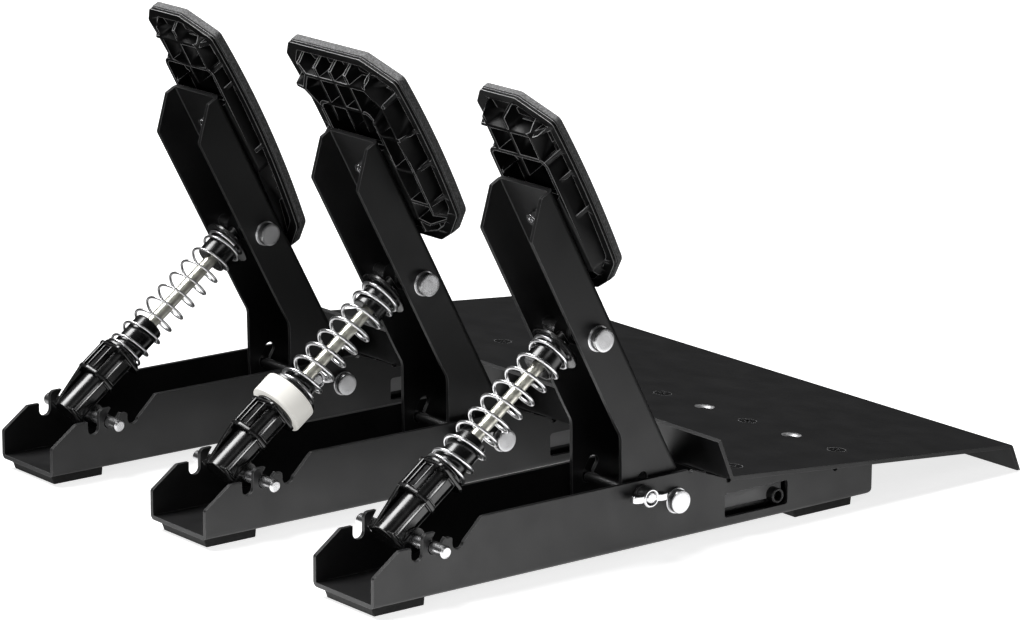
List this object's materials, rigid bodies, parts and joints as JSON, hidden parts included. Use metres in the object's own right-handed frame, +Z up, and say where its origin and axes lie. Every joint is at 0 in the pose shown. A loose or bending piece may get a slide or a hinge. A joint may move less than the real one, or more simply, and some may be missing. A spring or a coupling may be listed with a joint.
{
  "type": "sim racing pedal set",
  "caption": "Floor pedal set for driving games: curved pads on hinged sheet-steel arms, each returned by a spring damper in a folded channel, with a sloped heel plate.",
  "frame": {"origin": "centre of the bounding box on the floor, under the rubber feet", "axes": "+X to the driver's right, +Y away from the driver towards the open ends of the channels, +Z up"},
  "size_m": [0.384, 0.3926, 0.2229],
  "materials": {
    "black_sheet_steel": "satin black powder coat with a fine texture",
    "carrier_plastic": "black moulded plastic, satin",
    "pad_cover": "dark grey with a fine grain",
    "damper_plastic": "glossy black",
    "rod_steel": "warm nickel-plated piston rod",
    "spring_steel": "bright chrome wire",
    "white_elastomer": "off-white, smooth",
    "foot_rubber": "matt black rubber",
    "black_screws": "blackened countersunk screws",
    "module_plastic": "dark grey, matt",
    "washer_plastic": "natural plain-bearing plastic",
    "magnet": "plated disc",
    "pin_steel": "turned and polished",
    "bright_steel": "bright zinc or chrome plate"
  },
  "bodies": {
    "base": {"heel_plate": "black_sheet_steel", "plate_screws": "black_screws", "plate_nuts": "bright_steel", "rubber_feet": "foot_rubber", "pivot_washers": "washer_plastic", "clutch_channel": "black_sheet_steel", "clutch_pivot_axle": "pin_steel", "clutch_stop_bolt": "bright_steel", "clutch_wing_nut": "bright_steel", "clutch_lower_pin": "pin_steel", "clutch_sensor": "module_plastic", "brake_channel": "black_sheet_steel", "brake_pivot_axle": "pin_steel", "brake_stop_bolt": "bright_steel", "brake_wing_nut": "bright_steel", "brake_lower_pin": "pin_steel", "brake_sensor": "module_plastic", "throttle_channel": "black_sheet_steel", "throttle_pivot_axle": "pin_steel", "throttle_stop_bolt": "bright_steel", "throttle_wing_nut": "bright_steel", "throttle_lower_pin": "pin_steel", "throttle_sensor": "module_plastic"},
    "clutch_arm_body": {"clutch_arm": "black_sheet_steel", "clutch_pad_carrier": "carrier_plastic", "clutch_pad_cover": "pad_cover", "clutch_pad_screws": "bright_steel", "clutch_upper_pin": "pin_steel", "clutch_magnet": "magnet"},
    "clutch_housing_body": {"clutch_damper_housing": "damper_plastic", "clutch_spring": "spring_steel"},
    "clutch_rod_body": {"clutch_damper_rod": "rod_steel", "clutch_spring_cap": "damper_plastic"},
    "brake_arm_body": {"brake_arm": "black_sheet_steel", "brake_pad_carrier": "carrier_plastic", "brake_pad_cover": "pad_cover", "brake_pad_screws": "bright_steel", "brake_upper_pin": "pin_steel", "brake_magnet": "magnet"},
    "brake_housing_body": {"brake_damper_housing": "damper_plastic", "brake_spring": "spring_steel", "brake_elastomer": "white_elastomer", "brake_elastomer_washer": "damper_plastic"},
    "brake_rod_body": {"brake_damper_rod": "rod_steel", "brake_spring_cap": "damper_plastic"},
    "throttle_arm_body": {"throttle_arm": "black_sheet_steel", "throttle_pad_carrier": "carrier_plastic", "throttle_pad_cover": "pad_cover", "throttle_pad_screws": "bright_steel", "throttle_upper_pin": "pin_steel", "throttle_magnet": "magnet"},
    "throttle_housing_body": {"throttle_damper_housing": "damper_plastic", "throttle_spring": "spring_steel"},
    "throttle_rod_body": {"throttle_damper_rod": "rod_steel", "throttle_spring_cap": "damper_plastic"}
  },
  "joints": [
    {"name": "clutch_pedal_hinge", "type": "hinge", "parent": "base", "child": "clutch_arm_body", "pos_m": [-0.16, 0.02384, 0.0241], "axis": [-1, 0, 0], "range_deg": [0, 20], "stiffness_Nm_per_rad": 18, "springref_deg": -6.88},
    {"name": "clutch_damper_hinge", "type": "hinge", "parent": "base", "child": "clutch_housing_body", "pos_m": [-0.16, 0.16344, 0.0276], "axis": [-1, 0, 0], "range_deg": [0, 1.1]},
    {"name": "clutch_rod_slide", "type": "slide", "parent": "clutch_housing_body", "child": "clutch_rod_body", "axis": [0, 0.8016, -0.5978], "range_m": [0, 0.034], "deforming": ["clutch_spring"]},
    {"name": "brake_pedal_hinge", "type": "hinge", "parent": "base", "child": "brake_arm_body", "pos_m": [-0.0315, 0.02384, 0.0241], "axis": [-1, 0, 0], "range_deg": [0, 12], "stiffness_Nm_per_rad": 60, "springref_deg": -6.88},
    {"name": "brake_damper_hinge", "type": "hinge", "parent": "base", "child": "brake_housing_body", "pos_m": [-0.0315, 0.16344, 0.0276], "axis": [-1, 0, 0], "range_deg": [0, 1.1]},
    {"name": "brake_rod_slide", "type": "slide", "parent": "brake_housing_body", "child": "brake_rod_body", "axis": [0, 0.8016, -0.5978], "range_m": [0, 0.0205], "deforming": ["brake_spring"]},
    {"name": "throttle_pedal_hinge", "type": "hinge", "parent": "base", "child": "throttle_arm_body", "pos_m": [0.097, 0.02384, 0.0241], "axis": [-1, 0, 0], "range_deg": [0, 20], "stiffness_Nm_per_rad": 12, "springref_deg": -6.88},
    {"name": "throttle_damper_hinge", "type": "hinge", "parent": "base", "child": "throttle_housing_body", "pos_m": [0.097, 0.16344, 0.0276], "axis": [-1, 0, 0], "range_deg": [0, 1.1]},
    {"name": "throttle_rod_slide", "type": "slide", "parent": "throttle_housing_body", "child": "throttle_rod_body", "axis": [0, 0.8016, -0.5978], "range_m": [0, 0.034], "deforming": ["throttle_spring"]}
  ],
  "couplings": [
    {"joint": "clutch_damper_hinge", "follows": "clutch_pedal_hinge", "ratio": 0.004},
    {"joint": "clutch_rod_slide", "follows": "clutch_pedal_hinge", "m_per_rad": 0.0935},
    {"joint": "brake_damper_hinge", "follows": "brake_pedal_hinge", "ratio": 0.054},
    {"joint": "brake_rod_slide", "follows": "brake_pedal_hinge", "m_per_rad": 0.0933},
    {"joint": "throttle_damper_hinge", "follows": "throttle_pedal_hinge", "ratio": 0.004},
    {"joint": "throttle_rod_slide", "follows": "throttle_pedal_hinge", "m_per_rad": 0.0935}
  ]
}
